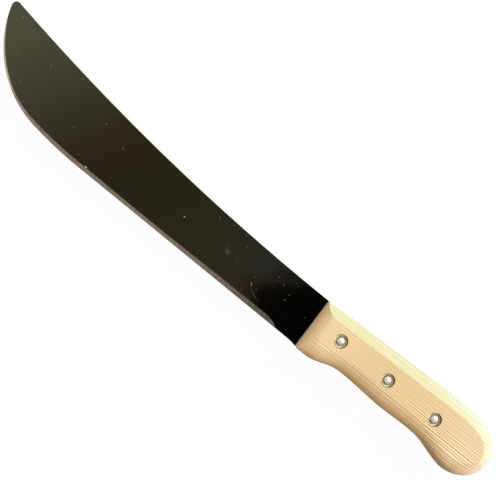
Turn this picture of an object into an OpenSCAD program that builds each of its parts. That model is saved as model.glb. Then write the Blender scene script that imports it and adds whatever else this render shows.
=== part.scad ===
// Machete with an upswept sheet steel blade, a full tang and two riveted wooden grip scales.
// It lies on its right scale: +X runs along the grip towards the tip, +Y towards the cutting
// edge and +Z out of the left scale. The origin is under the middle of the whole outline.

/* [Blade] */
// Length of the blade, from the front of the grip to the very tip
blade_l = 274.1; // [200:0.1:420]
// Width of the blade where its straight cutting edge line meets the grip
blade_w = 35; // [28:0.5:50]
// Thickness of the steel sheet, blade and tang alike
sheet_t = 2; // [1.4:0.1:4]
// Radius of the long hollow curve of the spine
spine_r = 1540; // [900:10:4000]
// Angle at which the spine leaves the line of the grip
spine_a = 1.9; // [0:0.05:4]
// Angle at which the straight part of the cutting edge leaves the line of the grip
edge_a = 2.25; // [0:0.05:4]
// Radius of the first, gentle part of the sweep up to the tip
sweep_r = 275; // [150:5:500]
// Angle that the gentle part of the sweep turns through
sweep_turn = 8; // [4:0.1:14]
// Radius of the full sweep up to the tip
belly_r = 72; // [55:1:140]
// Radius of the rounded tip
tip_r = 3.1; // [1:0.1:8]
// How far the blade flares out where it meets the grip
heel_flare = 0.8; // [0.2:0.1:3]
// Length of that flare
heel_flare_l = 8; // [4:0.5:14]

/* [Ground edge] */
// Width of the ground bevel on each side, where it has run in
bevel_w = 3.4; // [1.5:0.1:6]
// Its width where it is narrowest along the straight part
bevel_narrow_w = 2.5; // [1.5:0.1:6]
// Where that is, as a share of the straight part after the run-in
narrow_share = 0.65; // [0.3:0.05:0.8]
// Its width where the sweep starts
bevel_sweep_w = 2.9; // [1.5:0.1:6]
// Its width up the sweep
bevel_tip_w = 1.5; // [0.8:0.1:4]
// Angle that the edge has turned to where the bevel reaches that width
bevel_tip_a = 31; // [20:1:40]
// Angle that the edge has turned to where the bevel has run out
bevel_end_a = 68; // [50:1:72]
// Thickness left at the cutting edge
edge_t = 0.3; // [0.1:0.05:0.8]
// Length of the blunt stretch between the grip and the start of the bevel
blunt_l = 17.5; // [14:0.1:40]
// Length over which the grinding wheel runs in
run_in_l = 12; // [8:0.5:24]
// Width of the broken corner wherever the edge isn't ground
corner_w = 0.2; // [0.1:0.05:0.4]

/* [Grip] */
// Length of the grip along its spine line
grip_l = 140.1; // [125:0.1:165]
// Thickness of each wooden scale
scale_t = 10.5; // [8:0.5:14]
// Swell of the lug just behind the front of the grip
lug_rise = 0.4; // [0.2:0.1:4]
// Distance of the lug from the front of the grip
lug_at = 8.9; // [6:0.1:12]
// Grip width at the finger groove
groove_w = 31.5; // [26:0.1:36]
// Distance of the finger groove from the front of the grip
groove_at = 29.9; // [24:0.1:40]
// Grip width along the palm
palm_w = 34; // [28:0.1:38]
// Length over which the groove rises to the palm
palm_rise_l = 39.5; // [25:0.5:42]
// Length of the even stretch under the palm
palm_l = 7; // [4:0.5:18]
// Grip width at the hook that keeps the hand from slipping off
hook_w = 41.3; // [37:0.1:48]
// How late the hook rises out of the palm, where 1 is evenly
hook_late = 1.75; // [1:0.05:2.2]
// Distance of the hook's crest from the rear end
hook_back = 21.5; // [16:0.1:28]
// Squareness of the curve from the hook's crest to the rear end, where 2 is a true ellipse
hook_square = 2; // [1.7:0.05:2.6]
// Distance of the rearmost point from the spine line
butt_drop = 24; // [18:0.1:28]
// Length over which the spine side curves down to the rear end
butt_spine_l = 40; // [20:0.5:48]
// Squareness of that curve
butt_square = 2.6; // [2:0.05:3]

/* [Grip edges] */
// Height of the upright side wall of a scale, from the tang up
wall_h = 6.6; // [2:0.1:7.5]
// Width of the flat chamfer along the spine side, at the front of the grip
front_chamfer_w = 6.2; // [3:0.1:9]
// Its width where the rear end starts
chamfer_w = 7.4; // [3:0.1:9]
// Width of the chamfer where it has run round to the rear end
butt_chamfer_w = 5.3; // [2:0.1:7]
// Width of the rounding along the finger side
round_w = 10; // [4:0.5:10]
// How round it is, from a plain chamfer, 0, to a quarter of an ellipse, 1
roundness = 0.7; // [0:0.05:1]
// How soon the narrow edge at the rear end widens out to both sides, where 1 is evenly
butt_edge_soon = 0.7; // [0.5:0.05:1]
// Height of the scale's front edge, from the tang up
front_h = 6.6; // [1.5:0.1:7]
// Length of the ramp that rises from the front edge to the flat
ramp_l = 8; // [7:0.5:20]
// How straight the ramp is, from an arc that leaves the flat smoothly, 0, towards a plain slope, 1
ramp_straight = 0.3; // [0:0.05:0.9]
// Radius of the corner between the front edge and the finger side, low down
front_corner_r = 0.4; // [0.2:0.1:2]
// Radius of that corner where the ramp meets the flat, so that ramp and rounding run into each other
flat_corner_r = 7; // [3:0.5:10]

/* [Rivets] */
// Distance of the front rivet from the front of the grip
rivet_front = 20.4; // [18:0.1:28]
// Distance of the rear rivet from the rear end
rivet_back = 43.4; // [30:0.1:50]
// Distance of the front rivet from the spine line
rivet_drop = 15.7; // [14:0.1:19]
// Angle of the row of rivets to the spine line
rivet_row_a = 2.9; // [0:0.1:4]
// Diameter of the rivet's shank
rivet_d = 4.5; // [3:0.1:5.5]
// Diameter of the rivet's domed head
head_d = 6.2; // [5.8:0.1:7.5]
// Height of the domed head
head_h = 2.1; // [1.2:0.1:3]
// Diameter of the washer under the head
washer_d = 8.8; // [8:0.1:11]
// Thickness of the washer
washer_t = 0.6; // [0.4:0.1:1]
// How far the top of the head stays below the flat of the scale
head_sink = 0.3; // [0.1:0.1:1]
// Play between a rivet and its hole, all round
rivet_play = 0.1; // [0.05:0.05:0.3]
// Play between a washer and the wall of its counterbore, all round
washer_play = 0.15; // [0.05:0.05:0.4]

/* [Smoothness] */
// Steps along the gentle part of the sweep
sweep_steps = 8; // [4:1:16]
// Steps along the full sweep
belly_steps = 28; // [12:1:60]
// Steps round each half of the tip
tip_steps = 7; // [4:1:12]
// Steps along each quarter of the rear end
butt_steps = 12; // [6:1:24]
// Steps along the grip
grip_steps = 48; // [24:1:80]
// Steps up the rounding of a scale
round_steps = 8; // [4:1:16]
// Steps round the corner between the ramp and the finger side
corner_steps = 6; // [3:1:12]

/* [Hidden] */
$fn = 64;

rivet_n = 3;
flare_steps = 5;
run_in_steps = 10;
straight_steps = 26;
level_gap = 0.05;
overshoot = 1;

steel_colour = "#1b1a18";
wood_colour = "#e4c48e";
rivet_colour = "#d9d9d6";
washer_colour = "#b9b3aa";

grip_front_w = blade_w + heel_flare;
half_t = sheet_t / 2 + scale_t;

// A direction that dips from the line of the grip by an angle, and the way to the spine side of it
function along(a) = [cos(a), -sin(a)];
function inward(a) = [-sin(a), -cos(a)];

// The spine is one arc, hollow, with its centre outside the steel
spine_centre = spine_r * inward(spine_a);
function spine_at(x) = [x, spine_centre.y + sqrt(pow(spine_r, 2) - pow(x - spine_centre.x, 2))];

// The tip is an arc that touches the spine and the belly, and reaches the full length
tip_x = blade_l - tip_r;
tip_centre = [tip_x, spine_centre.y
    + sqrt(pow(spine_r + tip_r, 2) - pow(tip_x - spine_centre.x, 2))];

// The belly is a straight line and two arcs, each tangent to the next, set so that it ends on the tip.
// Places are first found along the straight line and square to it.
heel = [0, blade_w];
tip_run = (tip_centre - heel) * along(edge_a);
tip_depth = (tip_centre - heel) * inward(edge_a);
belly_depth = sweep_r - (sweep_r - belly_r) * cos(sweep_turn);
belly_run = tip_run - sqrt(pow(belly_r - tip_r, 2) - pow(tip_depth - belly_depth, 2));
straight_l = belly_run - (sweep_r - belly_r) * sin(sweep_turn);
straight_end = heel + straight_l * along(edge_a);
sweep_centre = straight_end + sweep_r * inward(edge_a);
belly_a = edge_a + sweep_turn;
belly_centre = sweep_centre - (sweep_r - belly_r) * inward(belly_a);
to_tip = tip_centre - belly_centre;
belly_end_a = atan2(to_tip.x, to_tip.y);
to_spine = spine_centre - tip_centre;
spine_end_a = 360 + atan2(to_spine.x, to_spine.y);
tip_mid_a = (belly_end_a + spine_end_a) / 2;

// A share that eases from 0 to 1, and a value that eases with it from one place to another
function ease(u) = u * u * (3 - 2 * u);
function eased(x, x0, x1, w0, w1) = w0 + (w1 - w0) * ease(min(1, max(0, (x - x0) / (x1 - x0))));

// Full width of the bevel, by the way run along the straight part or by the angle turned up the sweep
run_in_end = blunt_l + run_in_l;
narrow_at = run_in_end + (straight_l - run_in_end) * narrow_share;
function straight_bevel(run) =
    run < narrow_at ? eased(run, run_in_end, narrow_at, bevel_w, bevel_narrow_w)
    : eased(run, narrow_at, straight_l, bevel_narrow_w, bevel_sweep_w);
function sweep_bevel(a) = bevel_sweep_w
    + (bevel_tip_w - bevel_sweep_w) * min(1, (a - edge_a) / (bevel_tip_a - edge_a));

// Share of that width: the wheel runs in and out along quarters of an ellipse
function run_in(run) = let(u = min(1, max(0, (run - blunt_l) / run_in_l)))
    sqrt(1 - pow(1 - u, 2));
function run_out(a) = let(u = min(1, max(0, (a - bevel_tip_a) / (bevel_end_a - bevel_tip_a))))
    sqrt(1 - pow(u, 2));

// Each station of the cutting edge is its point, the angle that it faces, and the width and the
// slope of its bevel. At full width every bevel leaves the same thin edge.
function ground(point, a, full_w, share) =
    [point, a, max(corner_w, full_w * share), (sheet_t - edge_t) / 2 / full_w];
straight_runs = concat(
    [for (i = [0:flare_steps]) heel_flare_l * i / flare_steps],
    [for (i = [0:run_in_steps]) blunt_l + run_in_l * (1 - cos(90 * i / run_in_steps))],
    [for (i = [1:straight_steps]) run_in_end + (straight_l - run_in_end) * i / straight_steps]);
function flare(run) = heel_flare * pow(max(0, 1 - run / heel_flare_l), 2);
edge_stations = concat(
    [for (run = straight_runs)
        ground([0, flare(run)] + heel + run * along(edge_a), edge_a, straight_bevel(run), run_in(run))],
    [for (i = [1:sweep_steps]) let(a = edge_a + sweep_turn * i / sweep_steps)
        ground(sweep_centre - sweep_r * inward(a), a, sweep_bevel(a), 1)],
    [for (i = [1:belly_steps]) let(a = belly_a + (belly_end_a - belly_a) * i / belly_steps)
        ground(belly_centre - belly_r * inward(a), a, sweep_bevel(a), run_out(a))],
    [for (i = [1:tip_steps])
        let(a = belly_end_a + (tip_mid_a - belly_end_a) * i / (tip_steps + 0.5))
        ground(tip_centre - tip_r * inward(a), a, bevel_tip_w, 0)]);

// Each station has its partner on the spine, so that the blade is a row of cross-sections
spine_end = tip_centre - tip_r * inward(spine_end_a);
edge_n = len(edge_stations) - tip_steps;
edge_end_x = edge_stations[edge_n - 1][0].x;
spine_points = concat(
    [for (i = [0:edge_n - 1]) spine_at(edge_stations[i][0].x * spine_end.x / edge_end_x)],
    [for (i = [1:tip_steps])
        let(a = spine_end_a + (tip_mid_a - spine_end_a) * i / (tip_steps + 0.5))
        tip_centre - tip_r * inward(a)]);

// A cross-section of the blade: spine, shoulder of the bevel and cutting edge, on both sides
function blade_section(spine, station) = let(
    edge = station[0],
    shoulder = edge + station[2] * inward(station[1]),
    z = sheet_t / 2,
    edge_z = z - station[2] * station[3])
    [[spine.x, spine.y, z], [shoulder.x, shoulder.y, z], [edge.x, edge.y, edge_z],
        [edge.x, edge.y, -edge_z], [shoulder.x, shoulder.y, -z], [spine.x, spine.y, -z]];

// Triangles between two neighbouring rings of a skin, with n points in each ring
function band(ring, n) = [for (j = [0:n - 1]) let(
    a = ring * n + j,
    b = ring * n + (j + 1) % n)
    each [[a, b, b + n], [a, b + n, a + n]]];
// Triangles of a fan over a round ring that starts at one point number
function fan(first, n) = [for (j = [1:n - 2]) [first, first + j, first + j + 1]];
// Triangles of a strip across a long ring, whose first half runs out and second half runs back
function strip(first, n) = [for (j = [0:n / 2 - 2]) each
    [[first + j, first + j + 1, first + n - 2 - j], [first + j, first + n - 2 - j, first + n - 1 - j]]];
function turned(faces) = [for (f = faces) [f[2], f[1], f[0]]];
function flat(rings) = [for (ring = rings) each ring];

// Distance of the finger side from the spine line, eased between its narrow and wide places
hook_x = grip_l - hook_back;
palm_start = groove_at + palm_rise_l;
palm_end = palm_start + palm_l;
lug_w = grip_front_w + lug_rise;
function finger_w(x) =
    x < lug_at ? grip_front_w + lug_rise * sin(90 * x / lug_at)
    : x < groove_at ? eased(x, lug_at, groove_at, lug_w, groove_w)
    : x < palm_start ? eased(x, groove_at, palm_start, groove_w, palm_w)
    : x < palm_end ? palm_w
    : palm_w + (hook_w - palm_w) * ease(pow((x - palm_end) / (hook_x - palm_end), hook_late));

// One quarter of the rear end, from the rearmost point to the spine line or to the hook's crest.
// Each station is its point, the way out of the wood, the width of its edge and how round that is.
function power(v, p) = v <= 0 ? 0 : pow(v, p);
function butt_quarter(long, deep, square, edge_w, how_round) =
    [for (i = [0:butt_steps - 1]) let(
        t = 90 * (i + 0.5) / (butt_steps + 0.5),
        out = [-power(cos(t), 2 - 2 / square) / long, power(sin(t), 2 - 2 / square) / deep],
        u = ease(pow(t / 90, butt_edge_soon)))
        [[long - grip_l - long * power(cos(t), 2 / square), butt_drop + deep * power(sin(t), 2 / square)],
            out / norm(out), butt_chamfer_w + (edge_w - butt_chamfer_w) * u, how_round * u]];

// Both sides of the grip from the rear end to the front, which a level up the ramp has shortened
function spine_side(cut, steps) = concat(
    butt_quarter(butt_spine_l, -butt_drop, butt_square, chamfer_w, 0),
    [for (i = [0:steps]) let(
        run = grip_l - butt_spine_l,
        x = run - (run - cut) * i / steps)
        [[-x, 0], [0, -1], front_chamfer_w + (chamfer_w - front_chamfer_w) * x / run, 0]]);
function finger_side(cut) = concat(
    butt_quarter(hook_back, hook_w - butt_drop, hook_square, round_w, roundness),
    [for (i = [0:grip_steps]) let(x = hook_x - (hook_x - cut) * i / grip_steps)
        [[-x, finger_w(x)], [0, 1], round_w, roundness]]);
// The front corner of the finger side at a level where that side has already come in
function finger_corner(cut, come, r) =
    [for (i = [1:corner_steps]) let(
        a = 90 * i / corner_steps,
        x = cut + r * (1 - sin(a)))
        [[-x, finger_w(x) - come - r * (1 - cos(a))], [0, 1], 0, 0]];
function backwards(list) = [for (i = [len(list) - 1:-1:0]) list[i]];

// Levels of a scale from the tang to its flat, with one at the top of the front edge
edge_drop = scale_t - wall_h;
edge_levels = concat([0], [for (i = [0:round_steps]) wall_h + edge_drop * sin(90 * i / round_steps)]);
levels = concat(
    [for (z = edge_levels) if (z < front_h - level_gap) z],
    [front_h],
    [for (z = edge_levels) if (z > front_h + level_gap) z]);
// How far an edge has come in at a level, as a share of its width, by how round it is
function come_in(z, how_round) = let(v = min(1, max(0, (z - wall_h) / edge_drop)))
    v + (1 - sqrt(1 - v * v) - v) * how_round;
// How far the ramp has come back at a level: it is an arc, whose chord runs from front edge to flat
ramp_drop = scale_t - front_h;
ramp_chord_a = atan(ramp_drop / ramp_l);
ramp_top_a = ramp_chord_a * ramp_straight;
ramp_r = norm([ramp_l, ramp_drop]) / (2 * sin(ramp_chord_a - ramp_top_a));
function ramp_back(z) = let(turn = acos(cos(ramp_top_a) - (scale_t - z) / ramp_r))
    z <= front_h ? 0 : ramp_l - ramp_r * (sin(turn) - sin(ramp_top_a));

function corner_r(z) = front_corner_r
    + (flat_corner_r - front_corner_r) * max(0, (z - front_h) / ramp_drop);

function scale_stations(z) = let(cut = ramp_back(z), r = corner_r(z)) concat(
    spine_side(cut, grip_steps + corner_steps),
    backwards(finger_corner(cut, round_w * come_in(z, roundness), r)),
    backwards(finger_side(cut + r)));
function scale_ring(z) = [for (s = scale_stations(z))
    let(p = s[0] - s[1] * s[2] * come_in(z, s[3])) [p.x, p.y, z]];

grip_outline = [for (s = concat(spine_side(0, grip_steps), backwards(finger_side(0)))) s[0]];
blade_outline = concat(spine_points, [for (s = edge_stations) s[0]]);
all_points = concat(grip_outline, blade_outline);
all_x = [for (p = all_points) p.x];
all_y = [for (p = all_points) p.y];
middle = [(min(all_x) + max(all_x)) / 2, (min(all_y) + max(all_y)) / 2];

// Centres of the rivets
rivet_pitch = (grip_l - rivet_front - rivet_back) / (rivet_n - 1);
function rivet_at(i) = [-rivet_front - rivet_pitch * i, rivet_drop + rivet_pitch * tan(rivet_row_a) * i];
hole_d = rivet_d + 2 * rivet_play;
bore_d = washer_d + 2 * washer_play;
bore_h = washer_t + head_h + head_sink;
seat_z = half_t - bore_h;
head_r = (pow(head_d / 2, 2) + pow(head_h, 2)) / (2 * head_h);

// Places a piece drawn about the middle of the sheet in the part's own frame
module seated() {
    translate([-middle.x, -middle.y, half_t]) children();
}

// The blade forward of the grip, a skin over its row of cross-sections
module blade_body() {
    sections = [for (i = [0:len(edge_stations) - 1]) blade_section(spine_points[i], edge_stations[i])];
    n = len(sections[0]);
    polyhedron(
        points = flat(sections),
        faces = concat(
            [for (ring = [0:len(sections) - 2]) each band(ring, n)],
            turned(fan(0, n)),
            fan((len(sections) - 1) * n, n)));
}

// The tang, as wide as the scales all round
module tang() {
    linear_extrude(height = sheet_t, center = true) polygon(grip_outline);
}

// Blade and tang, one piece of sheet steel
module blade() {
    color(steel_colour)
    seated()
    difference() {
        union() {
            blade_body();
            tang();
        }
        for (i = [0:rivet_n - 1])
            translate([rivet_at(i).x, rivet_at(i).y, 0])
            cylinder(d = hole_d, h = sheet_t + 2 * overshoot, center = true);
    }
}

// A scale on the upper side of the sheet, drilled and counterbored for the rivets
module scale_body() {
    rings = [for (z = levels) scale_ring(z)];
    n = len(rings[0]);
    difference() {
        translate([0, 0, sheet_t / 2])
        polyhedron(
            points = flat(rings),
            faces = concat(
                [for (ring = [0:len(rings) - 2]) each turned(band(ring, n))],
                strip(0, n),
                turned(strip((len(rings) - 1) * n, n))));
        for (i = [0:rivet_n - 1])
            translate([rivet_at(i).x, rivet_at(i).y, 0]) {
                cylinder(d = hole_d, h = half_t + overshoot);
                translate([0, 0, seat_z]) cylinder(d = bore_d, h = bore_h + overshoot);
            }
    }
}

module left_scale() {
    color(wood_colour) seated() scale_body();
}

module right_scale() {
    color(wood_colour) seated() mirror([0, 0, 1]) scale_body();
}

// The domed head of a rivet, a cap of a sphere that stands on its washer
module rivet_head() {
    translate([0, 0, seat_z + washer_t])
    intersection() {
        translate([0, 0, head_h - head_r]) sphere(r = head_r);
        cylinder(d = head_d, h = head_h + overshoot);
    }
}

module rivet(i) {
    color(rivet_colour)
    seated()
    translate([rivet_at(i).x, rivet_at(i).y, 0])
    union() {
        cylinder(d = rivet_d, h = 2 * (seat_z + washer_t), center = true);
        rivet_head();
        mirror([0, 0, 1]) rivet_head();
    }
}

// A washer on the floor of a counterbore, with side 1 for the left scale and -1 for the right one
module washer(i, side) {
    color(washer_colour)
    seated()
    translate([rivet_at(i).x, rivet_at(i).y, side * (seat_z + washer_t / 2)])
    difference() {
        cylinder(d = washer_d, h = washer_t, center = true);
        cylinder(d = hole_d, h = washer_t + 2 * overshoot, center = true);
    }
}

blade();
left_scale();
right_scale();
rivet(0);  // rivet_front
rivet(1);  // rivet_middle
rivet(2);  // rivet_rear
washer(0, 1);  // washer_front_left
washer(1, 1);  // washer_middle_left
washer(2, 1);  // washer_rear_left
washer(0, -1);  // washer_front_right
washer(1, -1);  // washer_middle_right
washer(2, -1);  // washer_rear_right
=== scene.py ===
"""Looks of a machete: a glossy black steel blade with a ground edge, riveted into a pale wooden grip.

Everything is in metres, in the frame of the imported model: +X runs along the grip to the tip, +Y across
the blade to the cutting edge, and +Z out of the left scale. The machete lies on its right scale.
"""

import logging
import math
from contextlib import contextmanager
from dataclasses import dataclass, replace
from enum import Enum
from functools import cached_property, partial, reduce
from typing import Callable, Iterator, Optional, Sequence, Union

import bmesh
import bpy
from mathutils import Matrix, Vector


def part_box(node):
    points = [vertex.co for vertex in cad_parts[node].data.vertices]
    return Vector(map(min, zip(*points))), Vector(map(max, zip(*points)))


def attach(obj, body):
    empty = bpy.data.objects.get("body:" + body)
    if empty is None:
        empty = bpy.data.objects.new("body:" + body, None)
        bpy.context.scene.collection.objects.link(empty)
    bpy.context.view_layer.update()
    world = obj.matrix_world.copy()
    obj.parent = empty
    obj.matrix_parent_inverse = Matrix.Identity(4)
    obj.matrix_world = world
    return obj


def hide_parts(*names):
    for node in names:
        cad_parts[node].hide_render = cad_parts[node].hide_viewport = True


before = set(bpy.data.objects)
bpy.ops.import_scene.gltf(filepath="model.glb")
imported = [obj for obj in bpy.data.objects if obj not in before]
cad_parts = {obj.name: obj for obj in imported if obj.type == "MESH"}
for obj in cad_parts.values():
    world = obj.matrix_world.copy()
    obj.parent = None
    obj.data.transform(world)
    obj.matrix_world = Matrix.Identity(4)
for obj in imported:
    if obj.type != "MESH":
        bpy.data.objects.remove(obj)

log = logging.getLogger("machete")

MM = 0.001
MERGE = 0.002 * MM
SECOND_FINISH = 1
PHOTO_WIDTH = 500

Triple = tuple[float, float, float]
Colour = Triple
Span = tuple[float, ...]
Socket = bpy.types.NodeSocket
Feed = Union[Socket, float, tuple]
Piece = bpy.types.Object
EdgeTest = Callable[[bmesh.types.BMEdge], bool]


# Helpers for shaping


def choose(piece: Piece) -> None:
    """Selects a piece alone and makes it the active one.

    Args:
        piece: The piece.
    """
    bpy.ops.object.select_all(action="DESELECT")
    piece.select_set(True)
    bpy.context.view_layer.objects.active = piece


@contextmanager
def editing(piece: Piece) -> Iterator[None]:
    """Opens a piece in edit mode with all of it selected, and closes it afterwards.

    Args:
        piece: The mesh to shape.
    """
    choose(piece)
    bpy.ops.object.mode_set(mode="EDIT")
    bpy.ops.mesh.select_mode(type="EDGE")
    bpy.ops.mesh.select_all(action="SELECT")
    yield
    bpy.ops.object.mode_set(mode="OBJECT")


def pick_edges(piece: Piece, wanted: EdgeTest) -> None:
    """Selects the edges that a test names, and nothing else, on a piece in edit mode.

    Args:
        piece: The mesh in edit mode.
        wanted: Says whether an edge is one of them.
    """
    bpy.ops.mesh.select_mode(type="EDGE")
    bpy.ops.mesh.select_all(action="DESELECT")
    mesh = bmesh.from_edit_mesh(piece.data)
    for edge in mesh.edges:
        if wanted(edge):
            edge.select_set(True)
    bmesh.update_edit_mesh(piece.data)


def round_edges(piece: Piece, wanted: EdgeTest, width: float, steps: int = 3) -> None:
    """Rounds the edges that a test names, on a piece in edit mode.

    Args:
        piece: The mesh in edit mode.
        wanted: Says whether an edge is one of them.
        width: How far the rounding reaches over each face, in millimetres.
        steps: Facets across it.
    """
    pick_edges(piece, wanted)
    bpy.ops.mesh.bevel(offset=width * MM, segments=steps, profile=0.5, affect="EDGES", clamp_overlap=True)


def rename(piece: Piece, title: str) -> Piece:
    """Gives a piece and its mesh their name."""
    piece.name = piece.data.name = title
    return piece


def settled() -> Piece:
    """The newest object, with its place put into its mesh, so that the object sits at the origin."""
    bpy.ops.object.transform_apply(location=True, rotation=True, scale=True)
    return bpy.context.active_object


def copied(source: Piece, title: str) -> Piece:
    """Copies an object together with its mesh.

    Args:
        source: The object.
        title: Name of the copy.

    Returns:
        The copy.
    """
    piece = source.copy()
    piece.data = source.data.copy()
    bpy.context.scene.collection.objects.link(piece)
    return rename(piece, title)


def copied_node(node: str, title: str) -> Piece:
    """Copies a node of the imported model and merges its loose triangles, for shaping further.

    Args:
        node: Name of the node.
        title: Name of the new piece.

    Returns:
        The new piece, with no material and no imported normals.
    """
    piece = copied(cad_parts[node], title)
    piece.data.materials.clear()
    with editing(piece):
        bpy.ops.mesh.remove_doubles(threshold=MERGE)
        bpy.ops.mesh.customdata_custom_splitnormals_clear()
    return piece


def modify(piece: Piece, kind: str, title: str, **settings: object) -> None:
    """Adds a modifier to a piece and applies it.

    Args:
        piece: The piece.
        kind: Blender's name for the modifier's type.
        title: Name of the modifier.
        **settings: Its settings.
    """
    choose(piece)
    modifier = piece.modifiers.new(title, kind)
    for name, value in settings.items():
        setattr(modifier, name, value)
    bpy.ops.object.modifier_apply(modifier=title)


def smooth(piece: Piece, angle: float) -> None:
    """Shades a piece smooth, except across edges sharper than an angle in degrees."""
    choose(piece)
    bpy.ops.object.shade_smooth_by_angle(angle=math.radians(angle))


def even_normals(piece: Piece) -> None:
    """Keeps flat faces flat beside narrow rounded edges, by weighting normals with face area."""
    modify(piece, "WEIGHTED_NORMAL", "Even normals", mode="FACE_AREA", weight=60, keep_sharp=True)


def from_axis(point: Vector, axes: Sequence[Vector]) -> float:
    """Distance of a point from the nearest rivet's axis, in metres."""
    return min((point.xy - axis.xy).length for axis in axes)


def mount(piece: Piece, node: str) -> None:
    """Puts a finished piece in the place of the node that it stands for.

    Args:
        piece: The finished piece.
        node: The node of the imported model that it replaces.
    """
    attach(piece, "root")
    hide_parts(node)
    log.info("%s: %d triangles", piece.name, sum(len(face.vertices) - 2 for face in piece.data.polygons))


# Helpers for finishes


@dataclass(frozen=True)
class Grain:
    """Soft noise on a surface: its lumps to a metre, its finer layers and their strength, how far it
    bends itself, and how its coordinates are scaled."""

    lumps: float
    layers: float = 2.0
    rough: float = 0.5
    bend: float = 0.0
    scale: Triple = (1.0, 1.0, 1.0)


class Recipe:
    """The node tree of one finish, written in the order in which its nodes feed each other."""

    def __init__(self, owner: Union[bpy.types.Material, bpy.types.World]) -> None:
        """Empties the owner's node tree.

        Args:
            owner: The material, or the world, that the finish is for.
        """
        self.owner = owner
        owner.use_nodes = True
        self.tree = owner.node_tree
        self.tree.nodes.clear()

    def add(
        self, kind: str, feeds: Optional[dict[Union[str, int], Feed]] = None, **settings: object
    ) -> bpy.types.Node:
        """Adds a node.

        Args:
            kind: Blender's name for the node's type.
            feeds: What goes into its inputs: another node's output, or a plain value without alpha.
            **settings: Properties of the node.

        Returns:
            The new node.
        """
        node = self.tree.nodes.new(kind)
        for name, value in settings.items():
            setattr(node, name, value)
        for key, value in (feeds or {}).items():
            socket = node.inputs[key]
            if isinstance(value, bpy.types.NodeSocket):
                self.tree.links.new(value, socket)
            else:
                socket.default_value = (*value, 1.0) if socket.type == "RGBA" else value
        return node

    @cached_property
    def place(self) -> Socket:
        """The point on the object, in the frame of the model."""
        return self.add("ShaderNodeTexCoord").outputs["Object"]

    def written(self, title: str, kind: str = "Fac") -> Socket:
        """A value that is written on the mesh."""
        return self.add("ShaderNodeAttribute", attribute_name=title).outputs[kind]

    def parts(self, vector: Socket) -> bpy.types.bpy_prop_collection:
        """The parts "X", "Y" and "Z" of a vector."""
        return self.add("ShaderNodeSeparateXYZ", {0: vector}).outputs

    def moved(
        self, vector: Socket, move: Triple, turn: float = 0, scale: Triple = (1, 1, 1), undo: bool = False
    ) -> Socket:
        """Scales, turns and moves coordinates.

        Args:
            vector: The coordinates.
            move: The move.
            turn: The turn about Z, in degrees.
            scale: The scale along X, Y and Z.
            undo: Reads move, turn and scale as those of a frame that the coordinates go into.

        Returns:
            The new coordinates.
        """
        feeds = {"Vector": vector, "Location": move, "Rotation": (0, 0, math.radians(turn)), "Scale": scale}
        return self.add("ShaderNodeMapping", feeds, vector_type="TEXTURE" if undo else "POINT").outputs[0]

    def math(self, operation: str, first: Feed, second: Feed = 0.0, third: Feed = 0.0) -> Socket:
        """Does one sum on values that vary over the surface. The operation has Blender's name."""
        return self.add("ShaderNodeMath", {0: first, 1: second, 2: third}, operation=operation).outputs[0]

    def times(self, *values: Feed) -> Socket:
        """The product of some values."""
        return reduce(partial(self.math, "MULTIPLY"), values)

    def plus(self, *values: Feed) -> Socket:
        """The sum of some values."""
        return reduce(partial(self.math, "ADD"), values)

    def most(self, *values: Feed) -> Socket:
        """The largest of some values."""
        return reduce(partial(self.math, "MAXIMUM"), values)

    def blended(self, first: Feed, share: Feed, second: Feed) -> Socket:
        """A share of the first value, plus the second."""
        return self.math("MULTIPLY_ADD", first, share, second)

    def between(self, value: Feed, span: Span) -> Socket:
        """Eases a value from one range into another, and holds it there.

        Args:
            value: The value.
            span: Where the ease starts and ends, and the results there, if they aren't 0 and 1.

        Returns:
            The eased value.
        """
        low, high, start, end = (*span, 0.0, 1.0)[:4]
        feeds = {"Value": value, "From Min": low, "From Max": high, "To Min": start, "To Max": end}
        return self.add("ShaderNodeMapRange", feeds, interpolation_type="SMOOTHSTEP").outputs["Result"]

    def noise(self, grain: Grain, shift: Triple = (0, 0, 0), at: Optional[Socket] = None) -> Socket:
        """Soft noise between 0 and 1.

        Args:
            grain: How fine it is.
            shift: How far it is shifted, so that two noises differ.
            at: Coordinates, where they aren't the point on the object.

        Returns:
            The noise.
        """
        vector = self.moved(at or self.place, shift, scale=grain.scale)
        feeds = {"Vector": vector, "Scale": grain.lumps, "Detail": grain.layers}
        feeds |= {"Roughness": grain.rough, "Distortion": grain.bend}
        return self.add("ShaderNodeTexNoise", feeds).outputs["Fac"]

    def waver(self, value: Socket, lumps: float, layers: float) -> Socket:
        """Soft noise between 0 and 1 along a single value."""
        feeds = {"W": value, "Scale": lumps, "Detail": layers}
        return self.add("ShaderNodeTexNoise", feeds, noise_dimensions="1D").outputs["Fac"]

    def mix(self, amount: Feed, under: Feed, over: Feed, blend: str = "MIX") -> Socket:
        """Lays one colour over another.

        Args:
            amount: How much of the upper colour shows.
            under: The lower colour.
            over: The upper colour.
            blend: Blender's name for the way they mix.

        Returns:
            The mixed colour.
        """
        feeds = {0: amount, 6: under, 7: over}
        return self.add("ShaderNodeMix", feeds, data_type="RGBA", blend_type=blend).outputs[2]

    def layered(self, colour: Feed, layers: Sequence[tuple[Feed, Feed, str]]) -> Socket:
        """Lays colours over a colour, one after another.

        Args:
            colour: The lowest colour.
            layers: For each layer how much of it shows, its colour and the way it mixes.

        Returns:
            The mixed colour.
        """
        for amount, over, blend in layers:
            colour = self.mix(amount, colour, over, blend)
        return colour

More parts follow.
